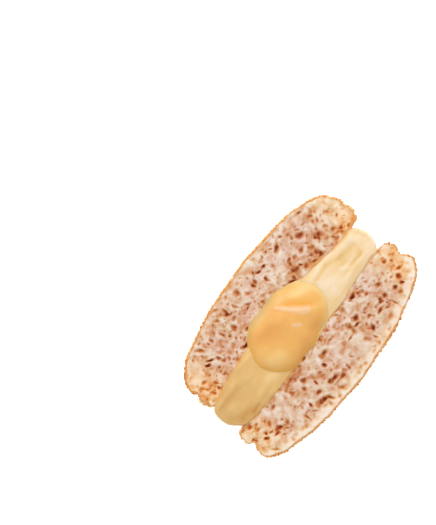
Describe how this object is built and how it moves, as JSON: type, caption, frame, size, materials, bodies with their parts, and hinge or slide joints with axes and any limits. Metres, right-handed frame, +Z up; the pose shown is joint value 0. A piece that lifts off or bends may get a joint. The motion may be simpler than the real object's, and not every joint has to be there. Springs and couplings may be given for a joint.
{
  "type": "half lemon macaron",
  "caption": "Half of a lemon macaron lying with its cut face up: crumb-coated meringue shells, pale buttercream and a dollop of lemon curd.",
  "frame": {"origin": "centre of the box's base, on the surface that the half lies on", "axes": "+X along the cut diameter, +Y from the lower shell through the filling to the upper shell, +Z up out of the cut face"},
  "size_m": [0.0484, 0.0328, 0.0266],
  "materials": {
    "crust": "baked almond meringue, dry and matt, pale gold with toasted brown specks",
    "cut_crumb": "cut sponge-like almond meringue, pinkish beige with small dark holes",
    "toasted_crumbs": "toasted biscuit crumbs and almond slivers, golden brown",
    "buttercream": "smooth pale yellow buttercream with a soft sheen",
    "lemon_curd": "smooth glossy lemon curd, deep golden yellow"
  },
  "bodies": {
    "root": {"upper_shell": "crust", "lower_shell": "crust", "buttercream": "buttercream", "lemon_curd": "lemon_curd"}
  },
  "joints": []
}
